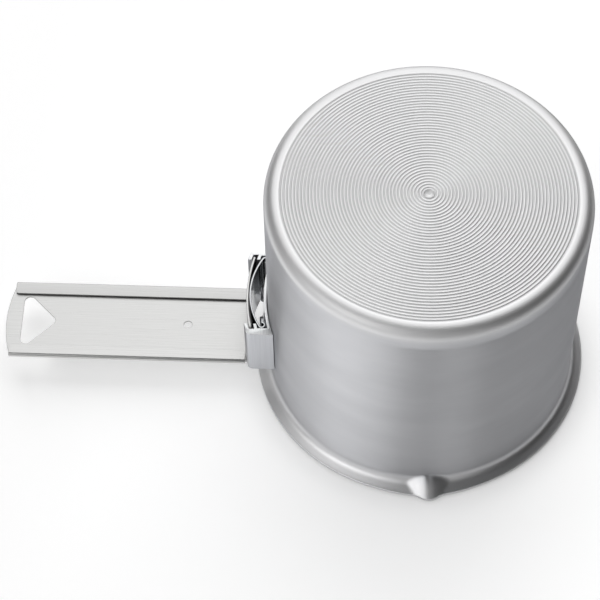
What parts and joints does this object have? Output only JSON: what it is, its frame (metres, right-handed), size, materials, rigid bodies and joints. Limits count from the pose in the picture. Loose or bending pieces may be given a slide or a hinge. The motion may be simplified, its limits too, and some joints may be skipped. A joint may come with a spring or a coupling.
{
  "type": "camping pot",
  "caption": "Straight-sided aluminium camping pot with a ring-grooved base, flared rim and pouring spout, and a folded steel strip handle that slides off its riveted wall bracket",
  "frame": {"origin": "middle of the base's outer face, on the pot's axis", "axes": "upside down as pictured, on its rim: +Z is the base's outward normal, the handle points along -X and the spout close to -Y"},
  "size_m": [0.2206, 0.1274, 0.106],
  "materials": {
    "pot_body": "spun satin",
    "handle_bracket": "extruded, sawn ends",
    "rivets": "plain",
    "lock_spring": "bright spring strip",
    "handle": "brushed lengthwise"
  },
  "bodies": {
    "pot": {"pot_body": "pot_body", "handle_bracket": "handle_bracket", "bracket_rivet_left": "rivets", "bracket_rivet_right": "rivets", "lock_spring": "lock_spring"},
    "handle": {"handle": "handle"}
  },
  "joints": [
    {"name": "handle_slide", "type": "slide", "parent": "pot", "child": "handle", "axis": [0, 0, -1], "range_m": [0, 0.026]}
  ]
}
